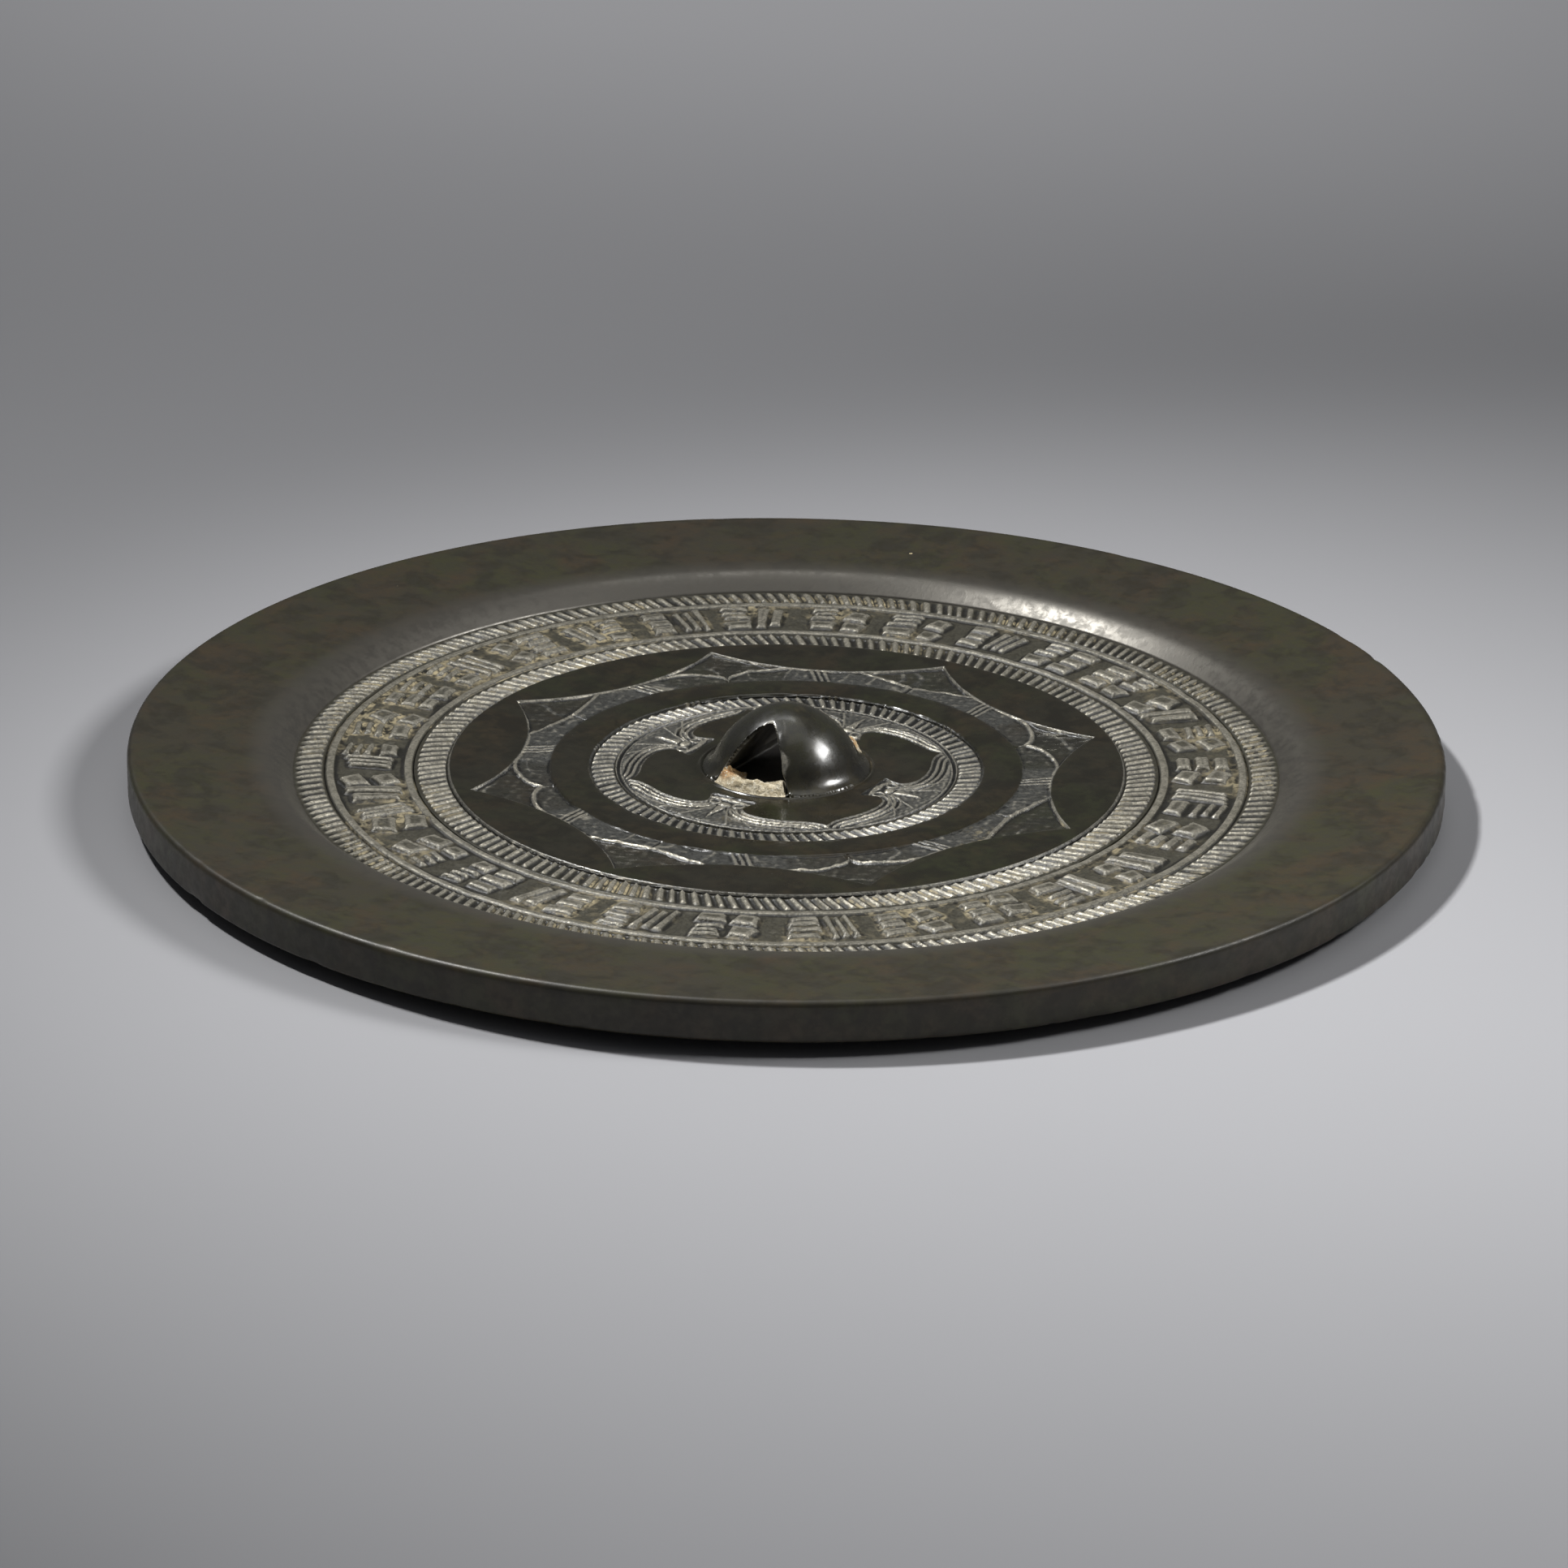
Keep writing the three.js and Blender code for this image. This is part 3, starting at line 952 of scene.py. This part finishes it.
def soil_lump(name, start, end, outer, reach, top, seed):
    """A crust between two directions in degrees, reaching inward from the knob's foot, in mm."""
    columns, rows = 150, 50
    share_round = np.linspace(0, 1, columns)[None, :]
    share_in = np.linspace(0, 1, rows)[:, None]
    angle = np.radians(start + (end - start) * share_round)
    bulge = 0.14 * cloud(share_round * 22, share_round * 0, 2.2, seed)
    edge = outer + bulge - 0.9 * (2 * share_round - 1) ** 6
    radius = edge - reach * share_in * (0.85 + 0.15 * np.cos(7 * share_round))
    x, y = flat(radius, angle)
    swell = soft_step(0, 0.34, share_in) * (1 - 0.75 * soft_step(0.45, 1.0, share_in))
    side = soft_step(0, 0.05, share_round) * soft_step(1, 0.95, share_round)
    lumps = 0.16 * cloud(x, y, 1.5, seed + 1) + 0.08 * cloud(x, y, 0.6, seed + 2)
    grains = 0.05 * np.random.default_rng(seed + 3).normal(size=x.shape)
    height = tunnel_floor + (top(share_round) * (1 + lumps) * swell + grains) * (0.1 + 0.9 * side)
    height = np.maximum(height, tunnel_floor - 0.03)
    upper = np.stack([x, y, height], -1)
    lower = upper.copy()
    lower[..., 2] = tunnel_floor - soil_bed
    index = np.arange(rows * columns).reshape(rows, columns)
    top_faces = np.stack([index[:-1, :-1], index[1:, :-1], index[1:, 1:], index[:-1, 1:]], -1)
    top_faces = top_faces.reshape(-1, 4)
    under_faces = (top_faces + index.size)[:, ::-1]
    border = np.concatenate([index[0, :-1], index[:-1, -1], index[-1, :0:-1], index[:0:-1, 0]])
    following = np.roll(border, -1)
    sides = np.stack([border, following, following + index.size, border + index.size], -1)[:, ::-1]
    faces = np.concatenate([top_faces, under_faces, sides])
    mesh = bpy.data.meshes.new(name)
    points = np.concatenate([upper.reshape(-1, 3), lower.reshape(-1, 3)]) * MM
    mesh.from_pydata(points.tolist(), [], faces.tolist())
    work = bmesh.new()
    work.from_mesh(mesh)
    store_outward(work, mesh)
    rust = soft_step(0.4, 0.05, share_round) * soft_step(0.05, 0.3, share_in)
    add_numbers(mesh, tone=np.tile(rust.ravel(), 2), hollow=np.zeros(2 * x.size))
    return finish_piece(name, mesh, np.ones(len(mesh.polygons), bool))


def front_crust(share):
    return 1.25 + 1.1 * soft_step(0.09, 0.0, share) + 0.2 * soft_step(0.7, 1.0, share)


def back_crust(share):
    return 1.7 + 0.6 * np.sin(9 * share)


soil = [
    soil_lump("soil_crust_front", -120, -60, 12.25, 5.2, front_crust, 81),
    soil_lump("soil_crust_back", 55, 82, 12.3, 4.4, back_crust, 91),
]

# %% [markdown]
# ## Effects shared by the finishes
#
# The patina, the fine scratches and the pits are the same on every polished or scraped surface,
# only stronger or weaker, so each is a node group with named inputs. A group gives back a mask or
# a height; the shader itself stays in each material.

# %% Node helpers


def add_node(tree, kind, **settings):
    made = tree.nodes.new(kind)
    for name, value in settings.items():
        setattr(made, name, value)
    return made


def give(tree, target, value):
    """Links a socket to the target, or sets a plain number there."""
    if isinstance(value, bpy.types.NodeSocket):
        tree.links.new(value, target)
    else:
        target.default_value = value


def feed(tree, node, **values):
    """Fills a node's inputs. Underscores stand for spaces in the input's name."""
    for name, value in values.items():
        give(tree, node.inputs[name.replace("_", " ")], value)
    return node


def calculated(tree, operation, first, second=0.0, clamp=False):
    made = add_node(tree, "ShaderNodeMath", operation=operation, use_clamp=clamp)
    for target, value in zip(made.inputs, (first, second)):
        give(tree, target, value)
    return made.outputs[0]


def remapped(tree, value, low, high, new_low=0.0, new_high=1.0):
    made = add_node(tree, "ShaderNodeMapRange", interpolation_type="SMOOTHSTEP")
    feed(tree, made, Value=value, From_Min=low, From_Max=high, To_Min=new_low, To_Max=new_high)
    return made.outputs["Result"]


def mixed(tree, share, first, second):
    made = add_node(tree, "ShaderNodeMix", data_type="RGBA")
    for place, value in ((0, share), (6, first), (7, second)):
        give(tree, made.inputs[place], (*value, 1) if isinstance(value, tuple) else value)
    return made.outputs[2]


def new_group(name, inputs, outputs):
    tree = bpy.data.node_groups.new(name, "ShaderNodeTree")
    for label, default in inputs.items():
        socket = tree.interface.new_socket(label, in_out="INPUT", socket_type="NodeSocketFloat")
        socket.default_value = default
    for label in outputs:
        tree.interface.new_socket(label, in_out="OUTPUT", socket_type="NodeSocketFloat")
    return tree, tree.nodes.new("NodeGroupInput"), tree.nodes.new("NodeGroupOutput")


def place_group(tree, group, **values):
    made = add_node(tree, "ShaderNodeGroup", node_tree=group)
    return feed(tree, made, **values).outputs


def times(tree, first, second):
    return calculated(tree, "MULTIPLY", first, second)


def plus(tree, first, second):
    return calculated(tree, "ADD", first, second)


print("node helpers ready")

# %% Patina clouds


def patina_group():
    """Soft-edged patches. Coverage moves the share of the surface that they cover."""
    tree, given, result = new_group(
        "patina clouds", {"Scale": 60, "Coverage": 0.5, "Softness": 0.2}, ["Mask"])
    place = add_node(tree, "ShaderNodeTexCoord").outputs["Object"]
    coarse = feed(tree, add_node(tree, "ShaderNodeTexNoise"), Vector=place,
                  Scale=given.outputs["Scale"], Detail=6.0, Roughness=0.62, Distortion=0.35)
    middle = calculated(tree, "SUBTRACT", 1.0, given.outputs["Coverage"])
    middle = calculated(tree, "MULTIPLY_ADD", middle, 0.5)
    middle.node.inputs[2].default_value = 0.25
    low_edge = calculated(tree, "SUBTRACT", middle, given.outputs["Softness"])
    high_edge = plus(tree, middle, given.outputs["Softness"])
    mask = remapped(tree, coarse.outputs["Fac"], low_edge, high_edge)
    tree.links.new(mask, result.inputs["Mask"])
    return tree


def patches(tree, scale, coverage, softness):
    return place_group(tree, patina, Scale=scale, Coverage=coverage, Softness=softness)["Mask"]


patina = patina_group()
print("patina clouds:", len(patina.nodes), "nodes")

# %% [markdown]
# Scraping and polishing leave hair-thin scratches in many directions. Noise stretched to thirty
# times its width makes them, in three layers turned against each other. Pits are the small holes
# that corrosion leaves: scattered dots of a Voronoi texture, kept only where a random value is
# low.

# %% Scratches and pits


def scratch_group():
    tree, given, result = new_group("fine scratches", {"Scale": 900}, ["Height"])
    place = add_node(tree, "ShaderNodeTexCoord").outputs["Object"]
    layers = []
    for degrees in (24, 97, 151):
        turned = feed(tree, add_node(tree, "ShaderNodeMapping"), Vector=place,
                      Rotation=(0, 0, np.radians(degrees)), Scale=(1, 0.03, 1))
        streaks = feed(tree, add_node(tree, "ShaderNodeTexNoise"), Vector=turned.outputs[0],
                       Scale=given.outputs["Scale"], Detail=2.0, Roughness=0.5)
        layers.append(remapped(tree, streaks.outputs["Fac"], 0.56, 0.7))
    deepest = calculated(tree, "MAXIMUM", layers[0], layers[1])
    deepest = calculated(tree, "MAXIMUM", deepest, layers[2])
    tree.links.new(deepest, result.inputs["Height"])
    return tree


def pit_group():
    tree, given, result = new_group("pits", {"Scale": 700, "Size": 0.25, "Share": 0.2}, ["Mask"])
    place = add_node(tree, "ShaderNodeTexCoord").outputs["Object"]
    dots = feed(tree, add_node(tree, "ShaderNodeTexVoronoi"), Vector=place,
                Scale=given.outputs["Scale"])
    chance = add_node(tree, "ShaderNodeSeparateColor")
    tree.links.new(dots.outputs["Color"], chance.inputs[0])
    kept = calculated(tree, "LESS_THAN", chance.outputs[0], given.outputs["Share"])
    size = times(tree, given.outputs["Size"], chance.outputs[1])
    dot = calculated(tree, "LESS_THAN", dots.outputs["Distance"], size)
    tree.links.new(times(tree, kept, dot), result.inputs["Mask"])
    return tree


scratches, pits = scratch_group(), pit_group()
print("scratches:", len(scratches.nodes), "nodes; pits:", len(pits.nodes), "nodes")

# %% [markdown]
# ## The bronze finishes
#
# High-tin bronze is silvery inside. Polished and long buried, it grew a smooth, nearly black
# skin; on the relief, which was never polished, the skin is thinner and greyer, with pale dust in
# its lines. One function builds each finish, and the numbers in its call say how it differs from
# the others. `tone`, stored on the points, carries a surface from polished black to bare relief.

# %% Bronze finish builder
silver_grey = (0.46, 0.43, 0.35)
cream_dust = (0.44, 0.37, 0.22)
skin_metallic, worn_metallic = 0.1, 0.85
roughest = 0.95


def new_material(name):
    material = bpy.data.materials.new(name)
    material.use_nodes = True
    tree = material.node_tree
    tree.nodes.clear()
    shader = tree.nodes.new("ShaderNodeBsdfPrincipled")
    output = tree.nodes.new("ShaderNodeOutputMaterial")
    tree.links.new(shader.outputs[0], output.inputs["Surface"])
    return material, tree, shader


def stored(tree, name):
    return add_node(tree, "ShaderNodeAttribute", attribute_name=name).outputs["Fac"]


def scaled(colour, share):
    return tuple(share * part for part in colour)


def skin_colour(tree, skin, warm, green, fine_patches):
    """The smooth skin: wide greenish and smaller warm patches, and two sizes of dark mottling."""
    shade = scaled(skin, 0.5)
    colour = mixed(tree, patches(tree, 40.0, 0.5, 0.1), skin, green)
    colour = mixed(tree, times(tree, patches(tree, 100.0, 0.42, 0.12), 0.8), colour, warm)
    colour = mixed(tree, times(tree, patches(tree, 210.0, 0.42, 0.1), 0.7), colour, shade)
    return mixed(tree, times(tree, fine_patches, 0.5), colour, shade)


def dust_mask(tree, tone, hollow, dust_share):
    """Specks of dust, gathered in wide patches, in the hollows of the relief."""
    dust = times(tree, patches(tree, 38.0, dust_share, 0.08), patches(tree, 800.0, 0.5, 0.12))
    dust = times(tree, dust, remapped(tree, hollow, 0.47, 0.62))
    return times(tree, dust, remapped(tree, tone, 0.38, 0.44, 0.0, 0.8))


def bronze_finish(name, skin, warm, green, ground, roughness, relief_roughness, scratch_depth=0.002,
                  pit_share=0.003, dust_share=0.5, hollow_skin_and_shade=None, hollow_roughness=0.0,
                  hollow_metallic=0.0, coat=0.0):
    """Skin, warm and green colour smooth metal, ground bare relief, and the hollow colour the
    hollows, which is the bevel's own skin on the rim and painted shade in the hole of the knob.
    """
    material, tree, shader = new_material(name)
    tone, hollow = stored(tree, "tone"), stored(tree, "hollow")
    fine_patches = patches(tree, 600.0, 0.5, 0.16)
    grains = patches(tree, 2400.0, 0.5, 0.14)
    bare = remapped(tree, tone, 0.05, 0.45)
    grainy = mixed(tree, grains, ground, scaled(ground, 1.9))
    colour = mixed(tree, bare, skin_colour(tree, skin, warm, green, fine_patches), grainy)
    crest = times(tree, remapped(tree, hollow, 0.5, 0.25), bare)
    worn = plus(tree, remapped(tree, tone, 0.5, 1.0), times(tree, crest, 0.6))
    worn = times(tree, worn, remapped(tree, fine_patches, 0, 1, 0.5, 1.0))
    worn = calculated(tree, "MULTIPLY", worn, remapped(tree, grains, 0, 1, 0.45, 1.0), clamp=True)
    colour = mixed(tree, worn, colour, silver_grey)
    # Painted shade: the deepest crevices of bare relief are darkened towards a quarter of the
    # ground colour.
    crevice_shade = times(tree, remapped(tree, hollow, 0.55, 0.78), remapped(tree, tone, 0.1, 0.3))
    colour = mixed(tree, times(tree, crevice_shade, 0.9), colour, scaled(ground, 0.25))
    dust = dust_mask(tree, tone, hollow, dust_share)
    colour = mixed(tree, dust, colour, cream_dust)
    rough = remapped(tree, bare, 0, 1, roughness, relief_roughness)
    rough = plus(tree, rough, times(tree, fine_patches, 0.1))
    rough = plus(tree, rough, times(tree, dust, 0.35))
    if hollow_skin_and_shade:
        hollow = times(tree, hollow, remapped(tree, fine_patches, 0, 1, 1.0, 0.75))
        colour = mixed(tree, hollow, colour, hollow_skin_and_shade)
        rough = plus(tree, rough, times(tree, hollow, hollow_roughness))
    rough = calculated(tree, "MINIMUM", rough, roughest)
    pit = place_group(tree, pits, Scale=500.0, Size=0.16, Share=pit_share)["Mask"]
    colour = mixed(tree, pit, colour, cream_dust)
    metal = remapped(tree, worn, 0, 1, skin_metallic, worn_metallic)
    metal = times(tree, metal, calculated(tree, "SUBTRACT", 1.0, dust))
    if hollow_metallic:
        metal = plus(tree, metal, times(tree, hollow, hollow_metallic))
    scratch = place_group(tree, scratches, Scale=1400.0)["Height"]
    height = times(tree, scratch, -scratch_depth)
    height = plus(tree, height, times(tree, times(tree, grains, bare), 0.022))
    bump = feed(tree, add_node(tree, "ShaderNodeBump"), Strength=1.0, Distance=MM, Height=height)
    feed(tree, shader, Base_Color=colour, Roughness=rough, Metallic=metal, Normal=bump.outputs[0])
    shader.inputs["IOR"].default_value = 1.5
    shader.inputs["Coat Weight"].default_value = coat
    shader.inputs["Coat Roughness"].default_value = 0.1
    return material


print("finish builder ready")

# %% [markdown]
# The bands and the inner field have the same smooth skin. The rim was scraped and is a little
# lighter and rougher, and its bevel shines. The knob is the glossiest part, and the wall of its
# hole is dull and painted nearly black, as painted shade.

# %% Four bronze finishes
band_skin = {"skin": (0.023, 0.021, 0.014), "warm": (0.032, 0.024, 0.014),
             "green": (0.023, 0.024, 0.012)}
rim_finish = bronze_finish(
    "scraped rim bronze", skin=(0.039, 0.034, 0.021), warm=(0.05, 0.034, 0.019),
    green=(0.039, 0.038, 0.017), ground=(0.06, 0.06, 0.057), roughness=0.4, relief_roughness=0.4,
    scratch_depth=0.003, pit_share=0.012, hollow_skin_and_shade=(0.09, 0.084, 0.072), hollow_roughness=-0.07,
    hollow_metallic=0.52)
band_finish = bronze_finish(
    "outer band bronze", **band_skin, ground=(0.029, 0.027, 0.019), roughness=0.3,
    relief_roughness=0.36, dust_share=0.45)
field_finish = bronze_finish(
    "inner field bronze", **band_skin, ground=(0.03, 0.03, 0.027), roughness=0.18,
    relief_roughness=0.27, dust_share=0.15)
# Painted shade: the knob's hollow colour, nearly black, darkens the wall of its hole.
knob_finish = bronze_finish(
    "polished knob bronze", skin=(0.022, 0.021, 0.016), warm=(0.045, 0.038, 0.022),
    green=(0.03, 0.03, 0.016), ground=(0.036, 0.036, 0.032), roughness=0.22, relief_roughness=0.3,
    scratch_depth=0.003, hollow_skin_and_shade=(0.006, 0.004, 0.003), hollow_roughness=0.6, coat=0.35)

rim_and_face.data.materials.append(rim_finish)
for piece in (outer_comb, inscription, middle_comb):
    piece.data.materials.append(band_finish)
for piece in (arcs, inner_comb, leaves):
    piece.data.materials.append(field_finish)
pierced_knob.data.materials.append(knob_finish)
print(len(bpy.data.materials), "finishes")

# %% [markdown]
# The soil is dull all over, so its shader has no metal in it. Iron in the water has stained one
# end of the crust orange.

# %% Soil finish


def soil_finish():
    material, tree, shader = new_material("dry soil")
    speckle = patches(tree, 900.0, 0.5, 0.12)
    grains = place_group(tree, pits, Scale=2600.0, Size=0.6, Share=0.3)["Mask"]
    sand = mixed(tree, speckle, (0.64, 0.57, 0.42), (0.38, 0.32, 0.21))
    rust = mixed(tree, speckle, (0.62, 0.42, 0.2), (0.42, 0.23, 0.1))
    colour = mixed(tree, stored(tree, "tone"), sand, rust)
    colour = mixed(tree, grains, colour, (0.68, 0.63, 0.5))
    rough = remapped(tree, speckle, 0, 1, 0.8, 0.98)
    height = times(tree, speckle, 0.12)
    bump = feed(tree, add_node(tree, "ShaderNodeBump"), Strength=1.0, Distance=MM, Height=height)
    feed(tree, shader, Base_Color=colour, Roughness=rough, Normal=bump.outputs[0])
    return material


dry_soil = soil_finish()
for piece in soil:
    piece.data.materials.append(dry_soil)
print(dry_soil.name, "on", len(soil), "lumps")

# %% [markdown]
# ## Floor
#
# A smooth pale grey board, large enough that its edge is out of sight. It is scenery.

# %% Floor
floor_half_width = 3.0  # metres


def floor():
    side = floor_half_width
    corners = [(-side, -side, 0), (side, -side, 0), (side, side, 0), (-side, side, 0)]
    mesh = bpy.data.meshes.new("floor")
    mesh.from_pydata(corners, [], [(0, 1, 2, 3)])
    board = placed("floor", mesh)
    material, tree, shader = new_material("pale grey board")
    shade = patches(tree, 4.0, 0.5, 0.3)
    grey = mixed(tree, shade, (0.36, 0.36, 0.373), (0.35, 0.35, 0.363))
    feed(tree, shader, Base_Color=grey, Roughness=0.6)
    mesh.materials.append(material)
    return board


floor()
print("floor", 2 * floor_half_width, "m across")

# %% [markdown]
# ## Camera
#
# The mirror is seen from a low angle through a long lens, a little over 80 cm away. The camera is
# built from its three own directions. It is turned about its line of sight by under a degree,
# then tipped down and aside by a hair, which puts the mirror slightly above the middle of the
# picture.

# %% Camera
camera_heading = np.radians(-59.5)
camera_height_angle = np.radians(21.47)
camera_distance = 9 * mirror_radius
camera_roll = np.radians(0.666)
aim_down = np.radians(0.481)
aim_left = np.radians(0.027)
lens_length, sensor_width = 135.7, 36


def direction(heading, height_angle):
    """The unit vector with this heading, at this angle above the floor."""
    level = np.cos(height_angle)
    return Vector((np.cos(heading) * level, np.sin(heading) * level, np.sin(height_angle)))


def turned_pair(first, second, angle):
    """Two directions at right angles, both turned by an angle in their common plane."""
    return (first * np.cos(angle) + second * np.sin(angle),
            second * np.cos(angle) - first * np.sin(angle))


def camera():
    back = direction(camera_heading, camera_height_angle)
    place = Vector((0, 0, edge_top)) + back * camera_distance
    right = Vector((0, 0, 1)).cross(back).normalized()
    up = back.cross(right)
    right, up = turned_pair(right, up, camera_roll)
    back, up = turned_pair(back, up, aim_down)
    back, right = turned_pair(back, right, aim_left)
    lens = bpy.data.cameras.new("camera")
    lens.lens, lens.sensor_width = lens_length, sensor_width
    lens.clip_start, lens.clip_end = 0.05, 20
    viewer = placed("camera", lens)
    rotation = Matrix((right, up, back)).transposed().to_4x4()
    viewer.matrix_world = Matrix.Translation(place * MM) @ rotation
    bpy.context.scene.camera = viewer
    return viewer


print("camera at", [round(part, 3) for part in camera().location])

# %% [markdown]
# ## Light
#
# A small studio at night. A fairly small lamp high on the left gives most of the light, a crisp
# shadow and the shine on the far bevel. A soft lamp on the right draws the long highlight on the
# knob and throws the other shadow. The room is nearly dark, which is why the polished metal looks
# black. The lamps have narrowed beams, so a fourth one is needed for the floor far behind.

# %% Lamps


def soft_lamp(name, heading, height_angle, distance, size, watts, beam, aim):
    """A lamp this far off in metres, with its heading and angle up in degrees, aimed in mm."""
    light = bpy.data.lights.new(name, "AREA")
    light.shape, light.size, light.size_y = "RECTANGLE", *size
    light.energy, light.spread = watts, np.radians(beam)
    lamp = placed(name, light)
    lamp.location = direction(*np.radians((heading, height_angle))) * distance
    beam_line = lamp.location - Vector((*aim, 0)) * MM
    lamp.rotation_euler = beam_line.to_track_quat("Z", "Y").to_euler()
    return lamp


soft_lamp("high lamp behind left", 185, 59, 0.8, (0.07, 0.07), 0.56, 40, (190, -20))
soft_lamp("soft lamp right", 28, 43, 0.6, (0.22, 0.17), 0.28, 42, (-160, -90))
soft_lamp("overhead lamp", 60, 80, 0.9, (0.6, 0.6), 0.33, 120, (0, 0))
soft_lamp("backdrop lamp", 121, 60, 1.0, (0.4, 0.4), 0.9, 64, (-280, 480))

world = bpy.data.worlds.new("dim room")
world.use_nodes = True
room = world.node_tree.nodes["Background"].inputs
room["Color"].default_value = (0.5, 0.51, 0.54, 1)
room["Strength"].default_value = 0.15
bpy.context.scene.world = world
bpy.context.scene.view_settings.view_transform = "Standard"
print("four lamps and a dim room")
